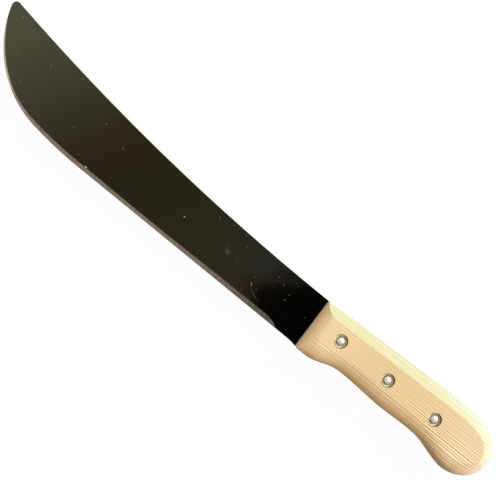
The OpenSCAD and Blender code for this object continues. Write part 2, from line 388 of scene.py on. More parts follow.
    def ramp(self, amount: Socket, stops: Sequence[tuple[float, Colour]]) -> Socket:
        """Turns a value into a colour.

        Args:
            amount: The value.
            stops: Places between 0 and 1 with their colours.

        Returns:
            The colour.
        """
        node = self.add("ShaderNodeValToRGB", {"Fac": amount})
        marks = node.color_ramp.elements
        while len(marks) < len(stops):
            marks.new(1.0)
        for mark, (where, colour) in zip(marks, stops):
            mark.position = where
            mark.color = (*colour, 1.0)
        return node.outputs["Color"]

    def bump(self, height: Socket, relief: Span, under: Optional[Socket] = None) -> Socket:
        """Turns a height into small relief.

        Args:
            height: The height, between 0 and 1.
            relief: The real height of 1, in millimetres, and the strength of the relief.
            under: Relief that this one lies on.

        Returns:
            The normal.
        """
        feeds = {"Height": height, "Distance": relief[0] * MM, "Strength": relief[1]}
        if under:
            feeds["Normal"] = under
        return self.add("ShaderNodeBump", feeds).outputs["Normal"]

    def seen(self) -> Socket:
        """1 on the rays that show the studio, straight, off gloss or through glass, and 0 on its light."""
        rays = self.add("ShaderNodeLightPath").outputs
        return self.most(*(rays[f"Is {kind} Ray"] for kind in ("Camera", "Glossy", "Transmission")))

    def surface(self, **feeds: Feed) -> bpy.types.Material:
        """Ends the finish with its shader.

        Args:
            **feeds: What goes into the shader's inputs, with underscores for spaces.

        Returns:
            The finished material.
        """
        inputs = {name.replace("_", " "): value for name, value in feeds.items()}
        shader = self.add("ShaderNodeBsdfPrincipled", inputs)
        self.add("ShaderNodeOutputMaterial", {"Surface": shader.outputs[0]})
        return self.owner


def lit(colour: Colour, share: float) -> Colour:
    """A colour made lighter or darker by a share."""
    return tuple(min(1.0, share * part) for part in colour)


# Finishes


@dataclass(frozen=True)
class Mark:
    """A chip, a scratch or a rubbed patch in the black coat, on the left face of the blade.

    Its place and size are in millimetres, its turn in degrees.
    """

    x: float
    y: float
    long: float
    wide: float
    turn: float
    paleness: float


@dataclass(frozen=True)
class Dust:
    """Grains of dust: how many to a metre, the largest as a share of their spacing, and how pale."""

    count: float
    reach: float
    paleness: float
    shift: Triple = (0.0, 0.0, 0.0)


@dataclass(frozen=True)
class BlackCoat:
    """Glossy black paint over sheet steel, with dust, fine scratches and a few chips."""

    face_z: float = 12.5
    index: float = 1.6
    paint: Colour = (0.0009, 0.0009, 0.0007)
    cloud: Grain = Grain(22.0, 3.0)
    thin_paint: float = 0.7
    thick_paint: float = 1.4
    gloss: Span = (0.3, 0.7, 0.035, 0.06)
    dusty_gloss: float = 0.5
    dust_colour: Colour = (0.062, 0.058, 0.050)
    dusts: tuple[Dust, ...] = (Dust(95.0, 0.030, 0.8), Dust(240.0, 0.045, 0.45, (0.3, 0.1, 0.2)))
    speck_size: float = 2.2
    speck_rim: float = 0.8
    hairs: Grain = Grain(34.0, 1.0, bend=1.2)
    hair_width: float = 0.0035
    hair_paleness: float = 0.25
    hair_patches: Grain = Grain(60.0)
    hair_shift: Triple = (0.7, 0.2, 0.1)
    hair_gaps: Span = (0.60, 0.68)
    rubs: Grain = Grain(300.0, bend=1.0)
    rub_width: float = 0.045
    rub_paleness: float = 0.9
    rubbed: tuple[Mark, ...] = (Mark(3.5, 8.2, 14.0, 8.0, 127, 1.0), Mark(-6.5, 10.5, 16.0, 11.0, 150, 0.45))
    ragged: Grain = Grain(1500.0, 1.0)
    raggedness: float = 0.8
    mark_end: float = 1.4
    mark_depth: float = 0.6
    peel: Grain = Grain(420.0, 1.0)
    peel_relief: Span = (0.004, 1.0)
    wave: Grain = Grain(24.0, 1.0)
    wave_relief: Span = (0.030, 1.0)
    bare: Colour = (0.26, 0.25, 0.22)
    marks: tuple[Mark, ...] = (
        Mark(38.4, 8.5, 1.5, 1.1, 70, 1.0),
        Mark(19.8, -4.4, 3.6, 0.5, 142, 0.34),
        Mark(-21.5, 17.2, 2.6, 0.8, 124, 0.55),
        Mark(-38.1, 5.1, 1.3, 0.9, 0, 0.40),
        Mark(-32.7, 3.0, 1.1, 0.8, 20, 0.34),
        Mark(-44.7, 8.1, 1.0, 0.8, 0, 0.32),
        Mark(-44.3, 12.3, 1.2, 0.8, 40, 0.36),
        Mark(-61.2, 13.4, 1.1, 0.8, 0, 0.34),
        Mark(-5.4, 0.1, 1.1, 0.8, 0, 0.30),
        Mark(10.1, -6.1, 1.3, 0.6, 20, 0.28),
        Mark(-0.5, -5.7, 1.2, 0.7, 0, 0.22),
        Mark(-20.5, 12.1, 1.4, 0.6, 110, 0.24),
        Mark(-25.6, 17.8, 2.2, 0.4, 80, 0.24),
        Mark(-25.5, 20.9, 8.5, 0.32, 148, 0.24),
        Mark(-28.3, 22.2, 7.0, 0.28, 156, 0.22),
        Mark(-19.8, 26.2, 2.2, 0.6, 0, 0.80),
        Mark(95.4, -2.6, 2.2, 0.7, 150, 0.30),
        Mark(107.4, 21.1, 2.0, 1.7, 10, 1.5),
        Mark(142.8, -22.8, 1.3, 0.8, 30, 0.28),
        Mark(128.8, 5.1, 1.3, 0.9, 0, 0.34),
        Mark(116.1, 17.4, 1.3, 0.9, 0, 0.28),
        Mark(113.4, -8.8, 1.5, 1.0, 0, 0.22),
        Mark(196.5, -31.6, 1.3, 0.8, 40, 0.34),
        Mark(163.5, -17.1, 1.6, 1.0, 80, 0.28),
        Mark(185.2, -9.2, 1.2, 0.9, 0, 0.24),
        Mark(176.9, -2.9, 1.2, 0.9, 0, 0.22),
        Mark(173.1, 2.4, 1.4, 0.9, 0, 0.24),
        Mark(164.4, 11.7, 1.3, 0.9, 50, 0.30),
    )

    def material(self) -> bpy.types.Material:
        """Makes the finish.

        Returns:
            The material.
        """
        r = Recipe(bpy.data.materials.new("black coat"))
        ragged = r.times(r.noise(self.ragged), self.raggedness)
        pale = r.most(
            *(r.times(self.specks(r, dust), dust.paleness) for dust in self.dusts),
            r.times(self.scratches(r), self.hair_paleness),
            r.times(self.scuffs(r, ragged), self.rub_paleness),
        )
        cloud = r.noise(self.cloud)
        colour = r.mix(cloud, lit(self.paint, self.thin_paint), lit(self.paint, self.thick_paint))
        colour = r.mix(pale, colour, self.dust_colour)
        for mark in self.marks:
            colour = r.mix(self.shape(r, ragged, mark), colour, lit(self.bare, mark.paleness))
        rough = r.plus(r.between(cloud, self.gloss), r.times(pale, self.dusty_gloss))
        peel = r.bump(r.noise(self.peel), self.peel_relief)
        relief = r.bump(r.noise(self.wave), self.wave_relief, under=peel)
        return r.surface(Base_Color=colour, Roughness=rough, IOR=self.index, Normal=relief)

    def specks(self, r: Recipe, dust: Dust) -> Socket:
        """Tiny grains of dust, of different sizes and strengths.

        Args:
            r: The recipe.
            dust: The grains.

        Returns:
            The grains, from 0 to 1.
        """
        feeds = {"Vector": r.moved(r.place, dust.shift), "Scale": dust.count, "Randomness": 1.0}
        cells = r.add("ShaderNodeTexVoronoi", feeds).outputs
        chance = r.add("ShaderNodeSeparateColor", {0: cells["Color"]}).outputs
        size = r.times(chance[0], chance[0], self.speck_size * dust.reach)
        inside = r.math("SUBTRACT", size, cells["Distance"])
        return r.times(r.between(inside, (0.0, self.speck_rim * dust.reach)), chance[1])

    def hairlines(self, r: Recipe, grain: Grain, width: float) -> Socket:
        """Curved lines where soft noise crosses its middle, from 0 to 1."""
        off = r.math("ABSOLUTE", r.math("SUBTRACT", r.noise(grain), 0.5))
        return r.between(off, (width, 0.0))

    def scratches(self, r: Recipe) -> Socket:
        """Fine curved hairlines, sparse and broken, from 0 to 1."""
        gaps = r.between(r.noise(self.hair_patches, self.hair_shift), self.hair_gaps)
        return r.times(self.hairlines(r, self.hairs, self.hair_width), gaps)

    def scuffs(self, r: Recipe, ragged: Socket) -> Socket:
        """The rubbed patches in the middle of the blade, from 0 to 1. Their outlines are ragged."""
        patches = (r.times(self.shape(r, ragged, mark, soft=1.0), mark.paleness) for mark in self.rubbed)
        return r.times(self.hairlines(r, self.rubs, self.rub_width), r.most(*patches))

    def shape(self, r: Recipe, ragged: Socket, mark: Mark, soft: float = 0.35) -> Socket:
        """The oval that a mark covers on the left face.

        Args:
            r: The recipe.
            ragged: Fine noise that breaks up its outline.
            mark: The mark.
            soft: Width of its soft rim, as a share of its size.

        Returns:
            The oval, 1 inside and 0 outside.
        """
        size = (mark.long / 2 * MM, mark.wide / 2 * MM, self.mark_depth * MM)
        local = r.moved(r.place, (mark.x * MM, mark.y * MM, self.face_z * MM), mark.turn, size, undo=True)
        away = r.add("ShaderNodeVectorMath", {0: local}, operation="LENGTH").outputs["Value"]
        return r.between(r.plus(away, ragged), (self.mark_end, self.mark_end - soft))


@dataclass(frozen=True)
class GroundSteel:
    """Bare steel of the ground edge, with the wheel's marks across it. Lengths along it are in
    millimetres from the heel."""

    bright: Colour = (0.325, 0.275, 0.245)
    dull: Colour = (0.212, 0.177, 0.152)
    warm: Colour = (0.32, 0.27, 0.21)
    burr: Colour = (0.035, 0.020, 0.006)
    # painted reflection: the ground edge is painted darker and bluer towards the heel and lighter towards
    # the tip
    heel_painted_reflection: Colour = (0.64, 0.68, 0.76)
    heel: Span = (70.0, 30.0)
    tip_painted_reflection: Colour = (1.5, 1.55, 1.40)
    tip: Span = (235.0, 250.0)
    fine: Grain = Grain(5200.0, 3.0, 0.65, scale=(1.0, 0.00035, 1.0))
    coarse: Grain = Grain(900.0, scale=(1.0, 0.0008, 1.0))
    slow: Grain = Grain(70.0, 3.0, scale=(1.0, 0.004, 1.0))
    marks: Span = (0.35, 0.65)
    warmth: Span = (0.4, 0.7, 0.0, 0.30)
    lip: Span = (0.95, 1.03, 0.0, 0.9)
    lip_waver: float = 0.06
    gloss: Span = (0.3, 0.7, 0.30, 0.44)
    relief: Span = (0.012, 0.8)

    def material(self) -> bpy.types.Material:
        """Makes the finish, which reads the edge's own map: along it, and across it from 0 to 1.

        Returns:
            The material.
        """
        r = Recipe(bpy.data.materials.new("ground steel"))
        run = r.add("ShaderNodeUVMap", uv_map="edge").outputs["UV"]
        parts = r.parts(run)
        along = r.times(parts["X"], 1 / MM)
        coarse = r.noise(self.coarse, at=run)
        grain = r.plus(r.times(r.noise(self.fine, at=run), 0.5), r.times(coarse, 0.5))
        lip = r.between(r.blended(coarse, self.lip_waver, parts["Y"]), self.lip)
        steel = r.mix(r.between(grain, self.marks), self.dull, self.bright)
        layers = (
            (r.between(r.noise(self.slow, at=run), self.warmth), self.warm, "MIX"),
            # painted reflection: darker towards the heel, lighter towards the tip
            (r.between(along, self.heel), self.heel_painted_reflection, "MULTIPLY"),
            (r.between(along, self.tip), self.tip_painted_reflection, "MULTIPLY"),
            (lip, self.burr, "MIX"),
        )
        colour, rough = r.layered(steel, layers), r.between(grain, self.gloss)
        return r.surface(Base_Color=colour, Metallic=1.0, Roughness=rough, Normal=r.bump(grain, self.relief))


@dataclass(frozen=True)
class AshWood:
    """Pale wood with clear growth rings, sanded and thinly lacquered.

    The rings lie round a line beside the grip, the heart of the tree, so they bend wherever the
    surface dips. Places are in millimetres in the frame of the model. The way that the wood faces is
    its normal's part along X, from -1 at the butt to 1 at the tip, and along Y, from -1 on the spine's
    side to 1 on the edge's.
    """

    title: str
    heart_y: float
    heart_z: float
    heart_turn: float
    shift: float
    middle_z: float = 11.5
    reach: float = 94.0
    rate: float = 0.57
    tighter: float = 0.005
    sway: Grain = Grain(70.0, scale=(0.25, 1.0, 1.0))
    sway_width: float = 1.6
    wander: Grain = Grain(420.0, 1.0, scale=(0.12, 1.0, 1.0))
    wander_width: float = 0.35
    uneven: tuple[float, float] = (0.45, 0.9)
    early: Span = (0.02, 0.30)
    fading: Span = (0.92, 0.46)
    mean_depth: float = 0.53
    clear_away: Span = (23.0, 11.0, 0.40, 1.0)
    clear_along: Span = (-125.0, -175.0, 0.55, 1.0)
    clear_belly: Span = (0.0, 0.8, 1.0, 0.30)
    clear_front: Span = (0.0, 0.6, 1.0, 0.45)
    clear_butt: Span = (-0.12, -0.45, 1.0, 0.30)
    clear_luck: Span = (0.0, 1.0, 0.55, 1.1)
    light: Colour = (0.97, 0.800, 0.480)
    late: Colour = (0.45, 0.268, 0.118)
    cloud: Grain = Grain(60.0, scale=(0.5, 1.0, 1.0))
    cloud_shift: float = 0.2
    blush: Colour = (0.71, 0.485, 0.262)
    blushing: Span = (0.42, 0.72, 0.0, 0.30)
    yellow: Colour = (0.86, 0.70, 0.42)
    yellow_rear: Span = (-150.0, -200.0, 0.0, 0.12)
    yellow_front: Span = (-115.0, -84.0, 0.0, 0.33)
    belly_face: Span = (0.10, 0.75)
    # painted light: faces turned to the edge's side, which lie in shade, are painted lighter and warmer,
    # like warm bounce light
    belly_painted_light: Colour = (1.42, 1.22, 1.03)
    belly_painted_lit: Span = (0.08, 0.50, 0.0, 0.9)
    # painted light: faces of the hook turned to the butt and the edge's side are painted paler, as if lit
    # from the butt's side
    hook_painted_light: Colour = (1.0, 1.12, 1.36)
    hook_painted_lit: tuple[Span, Span] = ((-0.03, -0.35), (0.10, 0.45))
    front_face: Span = (0.10, 0.80)
    # painted light: faces turned to the tip, on the ramp, are painted lighter and warmer, like warm bounce
    # light
    front_painted_light: Colour = (1.15, 1.01, 0.92)
    front_painted_lit: float = 0.9
    # painted shade: the steep rounding on the edge's side and the hollow before the hook are painted darker,
    # where shade falls
    painted_rim_shade: Colour = (0.57, 0.60, 0.67)
    shade_rim: Span = (0.61, 0.73)
    shade_hook: tuple[Span, Span] = ((0.30, 0.65), (-155.0, -172.0))
    shade_end: Span = (-197.0, -186.0)
    spine_face: Span = (-0.15, -0.42)
    spine_clear: float = 0.75
    # painted highlight: faces turned to the spine's side, towards the lamp, take these paler, greener wood
    # colours, standing in for light that washes them out
    pale: Colour = (0.545, 0.530, 0.350)
    pale_late: Colour = (0.385, 0.390, 0.205)
    pale_blush: Colour = (0.53, 0.45, 0.215)
    pale_blushing: Span = (0.40, 0.65, 0.0, 0.5)
    rear_tone: Colour = (1.0, 1.04, 1.15)
    rear_toned: Span = (-150.0, -200.0)
    # painted sheen: the butt's sides turned to the butt and the spine, towards the lamp, are painted paler
    # and less orange
    butt_painted_sheen: Colour = (0.93, 1.07, 1.36)
    butt_sheen_facing: tuple[Span, Span] = ((-0.12, -0.50), (0.45, 0.20))
    butt_spine: Span = (-140.0, -185.0)
    butt_height: Span = (11.4, 7.6, 0.0, 1.1)
    # the front face's end grain, painted paler than the wood as painted light on a face that lies in shade
    end_grain_painted_light: Colour = (0.96, 0.80, 0.58)
    end_face: Span = (0.80, 0.97, 0.0, 0.85)
    fibre: Grain = Grain(520.0, 1.0, scale=(0.03, 1.0, 1.0))
    fibre_tone: Span = (0.35, 0.75, 0.0, 0.12)
    pores: Grain = Grain(1900.0, 1.0, scale=(0.05, 1.0, 1.0))
    pore_size: Span = (0.58, 0.72)
    pore_rings: Span = (0.1, 0.8, 0.10, 1.0)
    pore: Colour = (0.36, 0.215, 0.105)
    pore_strength: float = 0.08
    # painted shade: wood in the counterbores is painted darker, where shade falls in the recesses
    bore_shade_colour: Colour = (0.27, 0.145, 0.065)
    bore_shade: float = 0.0
    lustre: float = 0.2
    gloss: Span = (0.3, 0.7, 0.50, 0.62)
    pore_relief: Span = (-0.02, 0.7)
    fibre_relief: Span = (0.008, 0.6)
    ring_relief: Span = (-0.015, 0.5)

    def material(self) -> bpy.types.Material:
        """Makes the finish.

        Returns:
            The material.
        """
        r = Recipe(bpy.data.materials.new(self.title))
        place, facing = r.parts(r.place), r.parts(r.written("facing", "Vector"))
        along, tip, edge = r.times(place["X"], 1 / MM), facing["X"], facing["Y"]
        height = r.math("ABSOLUTE", r.blended(place["Z"], 1 / MM, -self.middle_z))
        spine, belly = r.between(edge, self.spine_face), r.between(edge, self.belly_face)
        front = r.between(tip, self.front_face)
        phase, luck, clear = self.rings(r)
        band = r.times(r.between(phase, self.early), r.between(phase, self.fading))
        clearer = (
            (along, self.clear_along),
            (belly, self.clear_belly),
            (front, self.clear_front),
            (tip, self.clear_butt),
            (luck, self.clear_luck),
        )
        clear = r.times(clear, *(r.between(measure, span) for measure, span in clearer))
        cloud = r.noise(self.cloud, (self.shift, self.cloud_shift, 0))
        # painted highlight: the paler wood for faces turned to the lamp
        spine_sheen = r.mix(self.depth(r, band, self.spine_clear), self.pale, self.pale_late)
        spine_sheen = r.mix(r.between(cloud, self.pale_blushing), spine_sheen, self.pale_blush)
        ends = r.plus(r.between(along, self.yellow_rear), r.between(along, self.yellow_front))
        # painted shade on the steep rounding of the edge's side and in the hollow before the hook
        belly_shade = r.most(r.between(edge, self.shade_rim), self.both(r, edge, along, self.shade_hook))
        # painted sheen on the butt's sides turned to the lamp
        butt = self.both(r, tip, edge, self.butt_sheen_facing)
        butt = r.most(butt, r.times(spine, r.between(along, self.butt_spine)))
        fibre = r.noise(self.fibre)
        pores = r.between(r.noise(self.pores, (self.shift, 0, 0)), self.pore_size)
        dots = r.times(pores, r.between(band, self.pore_rings))
        layers = (
            (r.between(cloud, self.blushing), self.blush, "MIX"),
            (ends, self.yellow, "MIX"),
            # painted light: lighter, warmer faces on the edge's side
            (r.between(edge, self.belly_painted_lit), self.belly_painted_light, "MULTIPLY"),
            # painted light: paler faces on the hook's rear
            (self.both(r, tip, edge, self.hook_painted_lit), self.hook_painted_light, "MULTIPLY"),
            # painted light: lighter, warmer faces turned to the tip
            (r.times(front, self.front_painted_lit), self.front_painted_light, "MULTIPLY"),
            # painted shade, fading out at the very butt
            (r.times(belly_shade, r.between(along, self.shade_end)), self.painted_rim_shade, "MULTIPLY"),
            # painted highlight on faces turned to the spine's side
            (spine, spine_sheen, "MIX"),
            (r.between(along, self.rear_toned), self.rear_tone, "MULTIPLY"),
            # painted sheen on the butt's sides
            (r.times(butt, r.between(height, self.butt_height)), self.butt_painted_sheen, "MULTIPLY"),
            # painted light: the pale end grain on the front face
            (r.between(tip, self.end_face), self.end_grain_painted_light, "MIX"),
            (r.between(fibre, self.fibre_tone), self.blush, "MIX"),
            (r.times(dots, self.pore_strength), self.pore, "MIX"),
            # painted shade in the counterbores
            (self.bore_shade, self.bore_shade_colour, "MIX"),
        )
        colour = r.layered(r.mix(self.depth(r, band, clear), self.light, self.late), layers)
        relief = r.bump(dots, self.pore_relief)
        relief = r.bump(fibre, self.fibre_relief, under=relief)
        relief = r.bump(band, self.ring_relief, under=relief)
        rough = r.between(fibre, self.gloss)
        return r.surface(Base_Color=colour, Roughness=rough, Specular_IOR_Level=self.lustre, Normal=relief)

    def both(self, r: Recipe, first: Socket, second: Socket, spans: tuple[Span, Span]) -> Socket:
        """How far two values lie within their two spans."""
        return r.times(r.between(first, spans[0]), r.between(second, spans[1]))

    def depth(self, r: Recipe, band: Socket, clear: Feed) -> Socket:
        """How late the wood looks at a point of its ring: nearer to the mean where rings are less clear."""
        return r.blended(r.math("SUBTRACT", band, self.mean_depth), clear, self.mean_depth)

    def rings(self, r: Recipe) -> tuple[Socket, Socket, Socket]:
        """Growth rings round the heart of the tree.

        Args:
            r: The recipe.

        Returns:
            How far the point lies through its ring, from 0 to 1, that ring's own luck, and how clear
            the rings are so far from the heart.
        """
        heart = (0.0, self.heart_y * MM, self.heart_z * MM)
        local = r.parts(r.moved(r.place, heart, self.heart_turn, undo=True))
        away = r.math("SQRT", r.plus(*(r.times(local[axis], local[axis]) for axis in "YZ")))
        sway = r.noise(self.sway, (self.shift, 0, 0))
        wander = r.noise(self.wander, (0, self.shift, 0))
        away = r.blended(away, 1 / MM, r.blended(sway, self.sway_width, -self.reach))
        away = r.blended(wander, self.wander_width, away)
        count = r.times(away, r.blended(away, self.tighter, self.rate))
        lumps, strength = self.uneven
        count = r.blended(r.waver(count, lumps, 0.0), strength, count)
        ring = {"W": r.math("FLOOR", count)}
        luck = r.add("ShaderNodeTexWhiteNoise", ring, noise_dimensions="1D").outputs["Value"]
        return r.math("FRACT", count), luck, r.between(away, self.clear_away)


@dataclass(frozen=True)
class RivetMetal:
    """Bright aluminium of the rivets, peened a little, with grime where the head meets the washer."""

    bright: Colour = (0.67, 0.66, 0.67)
    dulled: Colour = (0.62, 0.61, 0.61)
    grime: Colour = (0.34, 0.28, 0.22)
    # painted shade: the dome's flank away from the lamp is painted darker
    flank_shade: Colour = (0.22, 0.185, 0.15)
    lumps: Grain = Grain(700.0)
    fine: Grain = Grain(5200.0)
    grimy: Span = (1.06, 1.24, 0.0, 0.35)
    grimy_waver: float = 0.30
    flank_shaded: Span = (0.66, 0.92, 0.0, 0.92)
    flank_shade_waver: float = 0.16
    gloss: Span = (0.3, 0.7, 0.56, 0.66)
    grimy_gloss: float = 0.2
    lump_relief: Span = (0.02, 0.8)
    fine_relief: Span = (0.004, 0.5)

    def material(self) -> bpy.types.Material:
        """Makes the finish, which reads how far a point lies from its rivet's axis.

        Returns:
            The material.
        """
        r = Recipe(bpy.data.materials.new("rivet metal"))
        lumps, fine = r.noise(self.lumps), r.noise(self.fine)
        dirt = r.between(r.blended(lumps, self.grimy_waver, r.written("out")), self.grimy)
        # painted shade on the dome's flank away from the lamp
        flank_shade_amount = r.between(r.blended(lumps, self.flank_shade_waver, r.written("low")), self.flank_shaded)
        colour = r.mix(dirt, r.mix(fine, self.bright, self.dulled), self.grime)
        colour = r.mix(flank_shade_amount, colour, self.flank_shade)
        rough = r.blended(dirt, self.grimy_gloss, r.between(fine, self.gloss))
        relief = r.bump(fine, self.fine_relief, under=r.bump(lumps, self.lump_relief))
        return r.surface(Base_Color=colour, Metallic=1.0, Roughness=rough, Normal=relief)


@dataclass(frozen=True)
class WasherMetal:
    """Dull aluminium of the washers, turned, with grime in the counterbore's corner and painted shade on the
    lamp's side.
    """

    metal: float = 0.9
    face: Colour = (0.99, 0.95, 0.88)
    dulled: Colour = (0.88, 0.83, 0.76)
    # grime colour, also used for painted shade on the side towards the lamp
    grime: Colour = (0.40, 0.31, 0.21)
    blotch: Grain = Grain(900.0, 3.0)
    blotched: Span = (0.35, 0.7, 0.0, 0.4)
    grimy: Span = (0.98, 1.10, 0.0, 0.3)
    grimy_waver: float = 0.14
    # painted shade: the outer part of the side towards the lamp is painted in the grime colour, where the
    # counterbore's wall shades it
    lamp_side_shade: Span = (0.35, 0.85, 0.0, 0.8)
    gloss: Span = (0.3, 0.7, 0.48, 0.60)
    turning: tuple[float, float] = (30.0, 2.0)
    turned_relief: Span = (0.01, 0.6)

    def material(self) -> bpy.types.Material:
        """Makes the finish, which reads how far a point lies from its washer's axis.

        Returns:
            The material.
        """
        r = Recipe(bpy.data.materials.new("washer metal"))
        out, blotch = r.written("out"), r.noise(self.blotch)
        layers = (
            (r.between(blotch, self.blotched), self.dulled, "MIX"),
            (r.between(r.blended(blotch, self.grimy_waver, out), self.grimy), self.grime, "MIX"),
            # painted shade on the lamp's side, under the counterbore's wall
            (r.between(r.times(r.written("low"), out), self.lamp_side_shade), self.grime, "MIX"),
        )
        colour, rough = r.layered(self.face, layers), r.between(blotch, self.gloss)
        relief = r.bump(r.waver(out, *self.turning), self.turned_relief)
        return r.surface(Base_Color=colour, Metallic=self.metal, Roughness=rough, Normal=relief)


# Pieces


class Side(Enum):
    """The side of the sheet that a scale or a washer lies on, as the tool is held."""

    LEFT = 1
    RIGHT = -1

    @property
    def label(self) -> str:
        """The word for this side in the names of pieces."""
        return self.name.lower()


@dataclass
class Blade:
    """The steel sheet, blade and tang in one piece, with its ground edge.

    Sizes are in millimetres and angles in degrees. The level of a face is its normal's part along Z,
    from 0 on a wall to 1 on a flat.
    """

    axes: tuple[Vector, ...]
    grip_front: float = -67.0
    sheet_low: float = 10.5
    sheet_high: float = 12.5
    close: float = 0.02
    rim: float = 0.10
    ground_from: float = -49.4
    ground_to: float = 203.6
    bevel: float = 3.4
    shoulder: float = 0.4
    lip: float = 0.05
    hole_zone: float = 3.0
    flat: float = 0.999
    tilted: Span = (0.8, 0.99)
    wall: float = 0.1
    flat_angle: float = 0.3
    smooth_angle: float = 12.0

    def build(self) -> Piece:
        """Shapes the blade from its node: merged, softened along its rims, its ground edge mapped.

        Returns:
            The blade.
        """
        piece = copied_node("blade", "machete_blade")
        piece.data.materials.append(BlackCoat().material())
        piece.data.materials.append(GroundSteel().material())
        edge = self.edge_line(piece)
        self.assign_ground(piece, edge)
        with editing(piece):
            bpy.ops.mesh.dissolve_limited(angle_limit=math.radians(self.flat_angle), delimit={"MATERIAL"})
            round_edges(piece, self.is_rim, self.rim)
        self.map_edge(piece, edge)
        smooth(piece, self.smooth_angle)
        even_normals(piece)
        return piece

    def edge_line(self, piece: Piece) -> list[Vector]:
        """Finds the cutting edge on the left side, from the heel to the tip.

        Args:
            piece: The merged copy of the blade.

        Returns:
            Its points, flat on the sheet.
        """
        low, high = (self.sheet_low + self.sheet_high) / 2 * MM, (self.sheet_high - self.close) * MM
        points = [vertex.co for vertex in piece.data.vertices if low < vertex.co.z < high]
        edge = [Vector(point.xy) for point in points if point.x > self.grip_front * MM]
        return sorted(edge, key=lambda point: point.x)

    def nearest(self, point: Vector, edge: Sequence[Vector]) -> tuple[float, float]:
        """Measures a point from the cutting edge.

        Args:
            point: A point of the blade.
            edge: The cutting edge.

        Returns:
            How far it lies along the edge and in from it, in metres.
        """
        best = (0.0, math.inf)
        run = 0.0
        flat = Vector(point.xy)
        for start, end in zip(edge, edge[1:]):
            step = end - start
            share = min(1.0, max(0.0, (flat - start).dot(step) / step.length_squared))
            away = (flat - start - share * step).length
            if away < best[1]:
                best = (run + share * step.length, away)
            run += step.length
        return best

    def assign_ground(self, piece: Piece, edge: Sequence[Vector]) -> None:
        """Gives the bare steel to the bevels and the edge itself, but not to its blunt ends.

        Args:
            piece: The merged copy of the blade.
            edge: The cutting edge.
        """
        low, high = self.tilted
        for face in piece.data.polygons:
            level, away = abs(face.normal.z), self.nearest(face.center, edge)[1]
            bevel = low < level < high and away < self.bevel * MM
            lip = level < self.wall and away < self.lip * MM
            if (bevel or lip) and self.ground_from * MM < face.center.x < self.ground_to * MM:
                face.material_index = SECOND_FINISH

    def is_rim(self, edge: bmesh.types.BMEdge) -> bool:
        """Whether an edge runs round the sheet's outline, where its corners are broken.

        Args:
            edge: An edge of the blade.

        Returns:
            True on the rim, but not in a rivet's hole.
        """
        levels = [abs(face.normal.z) for face in edge.link_faces]
        walls = [face.calc_center_median() for face in edge.link_faces if abs(face.normal.z) < self.wall]
        corner = len(levels) == 2 and len(walls) == 1 and max(levels) > self.flat
        return corner and from_axis(walls[0], self.axes) > self.hole_zone * MM

    def map_edge(self, piece: Piece, edge: Sequence[Vector]) -> None:
        """Writes the edge's map: how far along it in metres, and 0 on the edge or 1 on the shoulder.

        Args:
            piece: The finished blade.
            edge: The cutting edge.
        """
        corners = piece.data.uv_layers.new(name="edge").data
        for face in piece.data.polygons:
            if face.material_index != SECOND_FINISH:
                continue
            for corner, vertex in zip(face.loop_indices, face.vertices):
                along, away = self.nearest(piece.data.vertices[vertex].co, edge)
                corners[corner].uv = (along, float(away > self.shoulder * MM))


